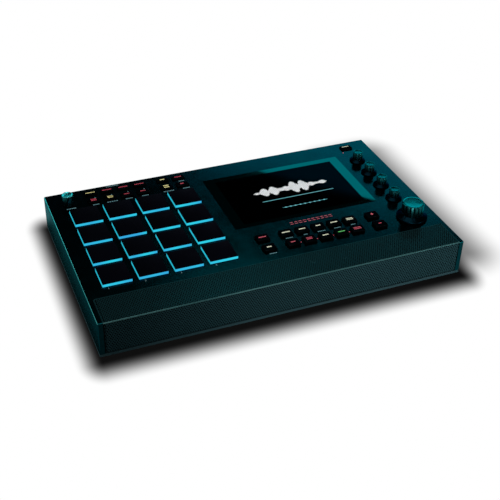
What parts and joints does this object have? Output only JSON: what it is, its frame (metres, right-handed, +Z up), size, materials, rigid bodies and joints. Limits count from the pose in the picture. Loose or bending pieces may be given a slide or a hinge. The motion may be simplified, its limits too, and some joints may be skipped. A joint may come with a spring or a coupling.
{
  "type": "drum machine",
  "caption": "Flat desk drum machine with a grid of lit pads, touch display, rows of push buttons, small knobs, one large dial and a folded speaker grille.",
  "frame": {"origin": "middle of the bounding box, at the surface that the feet stand on", "axes": "+X to the player's right, +Y to the rear, +Z up"},
  "size_m": [0.409, 0.2466, 0.0655],
  "materials": {
    "pad_rubber": "smooth silicone, satin",
    "key_cap": "semi gloss",
    "knob_cap": "satin gloss",
    "case_shell": "fine satin",
    "case_base": "fine satin",
    "grille_sheet": "perforated, satin paint",
    "display_glass": "polished",
    "board": "solder mask",
    "speaker": "matte",
    "socket": "matte",
    "foot_rubber": "matte",
    "steel": "turned"
  },
  "bodies": {
    "case": {"top_case": "case_shell", "base_tray": "case_base", "speaker_grille": "grille_sheet", "touch_display": "display_glass", "circuit_boards": "board", "speaker_drivers": "speaker", "rear_sockets": "socket", "rubber_feet": "foot_rubber", "case_screws": "steel"},
    "pad_1": {"pad_1": "pad_rubber"},
    "pad_2": {"pad_2": "pad_rubber"},
    "pad_3": {"pad_3": "pad_rubber"},
    "pad_4": {"pad_4": "pad_rubber"},
    "pad_5": {"pad_5": "pad_rubber"},
    "pad_6": {"pad_6": "pad_rubber"},
    "pad_7": {"pad_7": "pad_rubber"},
    "pad_8": {"pad_8": "pad_rubber"},
    "pad_9": {"pad_9": "pad_rubber"},
    "pad_10": {"pad_10": "pad_rubber"},
    "pad_11": {"pad_11": "pad_rubber"},
    "pad_12": {"pad_12": "pad_rubber"},
    "pad_13": {"pad_13": "pad_rubber"},
    "pad_14": {"pad_14": "pad_rubber"},
    "pad_15": {"pad_15": "pad_rubber"},
    "pad_16": {"pad_16": "pad_rubber"},
    "bank_button_1": {"bank_button_1": "key_cap"},
    "bank_button_2": {"bank_button_2": "key_cap"},
    "bank_button_3": {"bank_button_3": "key_cap"},
    "bank_button_4": {"bank_button_4": "key_cap"},
    "mode_button_1": {"mode_button_1": "key_cap"},
    "mode_button_2": {"mode_button_2": "key_cap"},
    "mode_button_3": {"mode_button_3": "key_cap"},
    "mode_button_4": {"mode_button_4": "key_cap"},
    "edit_button_1": {"edit_button_1": "key_cap"},
    "edit_button_2": {"edit_button_2": "key_cap"},
    "edit_button_3": {"edit_button_3": "key_cap"},
    "edit_button_4": {"edit_button_4": "key_cap"},
    "function_button_1": {"function_button_1": "key_cap"},
    "function_button_2": {"function_button_2": "key_cap"},
    "function_button_3": {"function_button_3": "key_cap"},
    "function_button_4": {"function_button_4": "key_cap"},
    "function_button_5": {"function_button_5": "key_cap"},
    "record_button": {"record_button": "key_cap"},
    "overdub_button": {"overdub_button": "key_cap"},
    "stop_button": {"stop_button": "key_cap"},
    "play_button": {"play_button": "key_cap"},
    "restart_button": {"restart_button": "key_cap"},
    "shift_button": {"shift_button": "key_cap"},
    "tap_button": {"tap_button": "key_cap"},
    "plus_button": {"plus_button": "key_cap"},
    "minus_button": {"minus_button": "key_cap"},
    "select_button": {"select_button": "key_cap"},
    "control_knob_1": {"control_knob_1": "knob_cap"},
    "control_knob_2": {"control_knob_2": "knob_cap"},
    "control_knob_3": {"control_knob_3": "knob_cap"},
    "control_knob_4": {"control_knob_4": "knob_cap"},
    "volume_knob": {"volume_knob": "knob_cap"},
    "dial_shaft": {"dial_shaft": "steel"},
    "data_dial": {"data_dial": "knob_cap"},
    "power_button": {"power_button": "key_cap"}
  },
  "joints": [
    {"name": "pad_1_press", "type": "slide", "parent": "case", "child": "pad_1", "axis": [0, 0, -1], "range_m": [0, 0.001], "stiffness_N_per_m": 1500, "springref_m": -0.0005},
    {"name": "pad_2_press", "type": "slide", "parent": "case", "child": "pad_2", "axis": [0, 0, -1], "range_m": [0, 0.001], "stiffness_N_per_m": 1500, "springref_m": -0.0005},
    {"name": "pad_3_press", "type": "slide", "parent": "case", "child": "pad_3", "axis": [0, 0, -1], "range_m": [0, 0.001], "stiffness_N_per_m": 1500, "springref_m": -0.0005},
    {"name": "pad_4_press", "type": "slide", "parent": "case", "child": "pad_4", "axis": [0, 0, -1], "range_m": [0, 0.001], "stiffness_N_per_m": 1500, "springref_m": -0.0005},
    {"name": "pad_5_press", "type": "slide", "parent": "case", "child": "pad_5", "axis": [0, 0, -1], "range_m": [0, 0.001], "stiffness_N_per_m": 1500, "springref_m": -0.0005},
    {"name": "pad_6_press", "type": "slide", "parent": "case", "child": "pad_6", "axis": [0, 0, -1], "range_m": [0, 0.001], "stiffness_N_per_m": 1500, "springref_m": -0.0005},
    {"name": "pad_7_press", "type": "slide", "parent": "case", "child": "pad_7", "axis": [0, 0, -1], "range_m": [0, 0.001], "stiffness_N_per_m": 1500, "springref_m": -0.0005},
    {"name": "pad_8_press", "type": "slide", "parent": "case", "child": "pad_8", "axis": [0, 0, -1], "range_m": [0, 0.001], "stiffness_N_per_m": 1500, "springref_m": -0.0005},
    {"name": "pad_9_press", "type": "slide", "parent": "case", "child": "pad_9", "axis": [0, 0, -1], "range_m": [0, 0.001], "stiffness_N_per_m": 1500, "springref_m": -0.0005},
    {"name": "pad_10_press", "type": "slide", "parent": "case", "child": "pad_10", "axis": [0, 0, -1], "range_m": [0, 0.001], "stiffness_N_per_m": 1500, "springref_m": -0.0005},
    {"name": "pad_11_press", "type": "slide", "parent": "case", "child": "pad_11", "axis": [0, 0, -1], "range_m": [0, 0.001], "stiffness_N_per_m": 1500, "springref_m": -0.0005},
    {"name": "pad_12_press", "type": "slide", "parent": "case", "child": "pad_12", "axis": [0, 0, -1], "range_m": [0, 0.001], "stiffness_N_per_m": 1500, "springref_m": -0.0005},
    {"name": "pad_13_press", "type": "slide", "parent": "case", "child": "pad_13", "axis": [0, 0, -1], "range_m": [0, 0.001], "stiffness_N_per_m": 1500, "springref_m": -0.0005},
    {"name": "pad_14_press", "type": "slide", "parent": "case", "child": "pad_14", "axis": [0, 0, -1], "range_m": [0, 0.001], "stiffness_N_per_m": 1500, "springref_m": -0.0005},
    {"name": "pad_15_press", "type": "slide", "parent": "case", "child": "pad_15", "axis": [0, 0, -1], "range_m": [0, 0.001], "stiffness_N_per_m": 1500, "springref_m": -0.0005},
    {"name": "pad_16_press", "type": "slide", "parent": "case", "child": "pad_16", "axis": [0, 0, -1], "range_m": [0, 0.001], "stiffness_N_per_m": 1500, "springref_m": -0.0005},
    {"name": "bank_button_1_press", "type": "slide", "parent": "case", "child": "bank_button_1", "axis": [0, 0, -1], "range_m": [0, 0.0012], "stiffness_N_per_m": 300, "springref_m": -0.002},
    {"name": "bank_button_2_press", "type": "slide", "parent": "case", "child": "bank_button_2", "axis": [0, 0, -1], "range_m": [0, 0.0012], "stiffness_N_per_m": 300, "springref_m": -0.002},
    {"name": "bank_button_3_press", "type": "slide", "parent": "case", "child": "bank_button_3", "axis": [0, 0, -1], "range_m": [0, 0.0012], "stiffness_N_per_m": 300, "springref_m": -0.002},
    {"name": "bank_button_4_press", "type": "slide", "parent": "case", "child": "bank_button_4", "axis": [0, 0, -1], "range_m": [0, 0.0012], "stiffness_N_per_m": 300, "springref_m": -0.002},
    {"name": "mode_button_1_press", "type": "slide", "parent": "case", "child": "mode_button_1", "axis": [0, 0, -1], "range_m": [0, 0.0012], "stiffness_N_per_m": 300, "springref_m": -0.002},
    {"name": "mode_button_2_press", "type": "slide", "parent": "case", "child": "mode_button_2", "axis": [0, 0, -1], "range_m": [0, 0.0012], "stiffness_N_per_m": 300, "springref_m": -0.002},
    {"name": "mode_button_3_press", "type": "slide", "parent": "case", "child": "mode_button_3", "axis": [0, 0, -1], "range_m": [0, 0.0012], "stiffness_N_per_m": 300, "springref_m": -0.002},
    {"name": "mode_button_4_press", "type": "slide", "parent": "case", "child": "mode_button_4", "axis": [0, 0, -1], "range_m": [0, 0.0012], "stiffness_N_per_m": 300, "springref_m": -0.002},
    {"name": "edit_button_1_press", "type": "slide", "parent": "case", "child": "edit_button_1", "axis": [0, 0, -1], "range_m": [0, 0.0012], "stiffness_N_per_m": 300, "springref_m": -0.002},
    {"name": "edit_button_2_press", "type": "slide", "parent": "case", "child": "edit_button_2", "axis": [0, 0, -1], "range_m": [0, 0.0012], "stiffness_N_per_m": 300, "springref_m": -0.002},
    {"name": "edit_button_3_press", "type": "slide", "parent": "case", "child": "edit_button_3", "axis": [0, 0, -1], "range_m": [0, 0.0012], "stiffness_N_per_m": 300, "springref_m": -0.002},
    {"name": "edit_button_4_press", "type": "slide", "parent": "case", "child": "edit_button_4", "axis": [0, 0, -1], "range_m": [0, 0.0012], "stiffness_N_per_m": 300, "springref_m": -0.002},
    {"name": "function_button_1_press", "type": "slide", "parent": "case", "child": "function_button_1", "axis": [0, 0, -1], "range_m": [0, 0.0012], "stiffness_N_per_m": 300, "springref_m": -0.002},
    {"name": "function_button_2_press", "type": "slide", "parent": "case", "child": "function_button_2", "axis": [0, 0, -1], "range_m": [0, 0.0012], "stiffness_N_per_m": 300, "springref_m": -0.002},
    {"name": "function_button_3_press", "type": "slide", "parent": "case", "child": "function_button_3", "axis": [0, 0, -1], "range_m": [0, 0.0012], "stiffness_N_per_m": 300, "springref_m": -0.002},
    {"name": "function_button_4_press", "type": "slide", "parent": "case", "child": "function_button_4", "axis": [0, 0, -1], "range_m": [0, 0.0012], "stiffness_N_per_m": 300, "springref_m": -0.002},
    {"name": "function_button_5_press", "type": "slide", "parent": "case", "child": "function_button_5", "axis": [0, 0, -1], "range_m": [0, 0.0012], "stiffness_N_per_m": 300, "springref_m": -0.002},
    {"name": "record_button_press", "type": "slide", "parent": "case", "child": "record_button", "axis": [0, 0, -1], "range_m": [0, 0.0012], "stiffness_N_per_m": 300, "springref_m": -0.002},
    {"name": "overdub_button_press", "type": "slide", "parent": "case", "child": "overdub_button", "axis": [0, 0, -1], "range_m": [0, 0.0012], "stiffness_N_per_m": 300, "springref_m": -0.002},
    {"name": "stop_button_press", "type": "slide", "parent": "case", "child": "stop_button", "axis": [0, 0, -1], "range_m": [0, 0.0012], "stiffness_N_per_m": 300, "springref_m": -0.002},
    {"name": "play_button_press", "type": "slide", "parent": "case", "child": "play_button", "axis": [0, 0, -1], "range_m": [0, 0.0012], "stiffness_N_per_m": 300, "springref_m": -0.002},
    {"name": "restart_button_press", "type": "slide", "parent": "case", "child": "restart_button", "axis": [0, 0, -1], "range_m": [0, 0.0012], "stiffness_N_per_m": 300, "springref_m": -0.002},
    {"name": "shift_button_press", "type": "slide", "parent": "case", "child": "shift_button", "axis": [0, 0, -1], "range_m": [0, 0.0012], "stiffness_N_per_m": 300, "springref_m": -0.002},
    {"name": "tap_button_press", "type": "slide", "parent": "case", "child": "tap_button", "axis": [0, 0, -1], "range_m": [0, 0.0012], "stiffness_N_per_m": 300, "springref_m": -0.002},
    {"name": "plus_button_press", "type": "slide", "parent": "case", "child": "plus_button", "axis": [0, 0, -1], "range_m": [0, 0.0012], "stiffness_N_per_m": 300, "springref_m": -0.002},
    {"name": "minus_button_press", "type": "slide", "parent": "case", "child": "minus_button", "axis": [0, 0, -1], "range_m": [0, 0.0012], "stiffness_N_per_m": 300, "springref_m": -0.002},
    {"name": "select_button_press", "type": "slide", "parent": "case", "child": "select_button", "axis": [0, 0, -1], "range_m": [0, 0.0012], "stiffness_N_per_m": 300, "springref_m": -0.002},
    {"name": "control_knob_1_turn", "type": "hinge", "parent": "case", "child": "control_knob_1", "pos_m": [0.1745, -0.01895, 0.0465], "axis": [0, 0, 1], "continuous": true},
    {"name": "control_knob_2_turn", "type": "hinge", "parent": "case", "child": "control_knob_2", "pos_m": [0.1745, 0.01165, 0.0465], "axis": [0, 0, 1], "continuous": true},
    {"name": "control_knob_3_turn", "type": "hinge", "parent": "case", "child": "control_knob_3", "pos_m": [0.1745, 0.04225, 0.0465], "axis": [0, 0, 1], "continuous": true},
    {"name": "control_knob_4_turn", "type": "hinge", "parent": "case", "child": "control_knob_4", "pos_m": [0.1745, 0.07285, 0.0465], "axis": [0, 0, 1], "continuous": true},
    {"name": "volume_knob_turn", "type": "hinge", "parent": "case", "child": "volume_knob", "pos_m": [-0.182, 0.09325, 0.0465], "axis": [0, 0, 1], "range_deg": [-150, 150]},
    {"name": "dial_press", "type": "slide", "parent": "case", "child": "dial_shaft", "axis": [0, 0, -1], "range_m": [0, 0.0005], "stiffness_N_per_m": 1500, "springref_m": -0.0005},
    {"name": "data_dial_turn", "type": "hinge", "parent": "dial_shaft", "child": "data_dial", "pos_m": [0.1745, -0.06075, 0.0465], "axis": [0, 0, 1], "continuous": true},
    {"name": "power_button_press", "type": "slide", "parent": "case", "child": "power_button", "axis": [0, -1, 0], "range_m": [0, 0.0015], "stiffness_N_per_m": 400, "springref_m": -0.002}
  ]
}
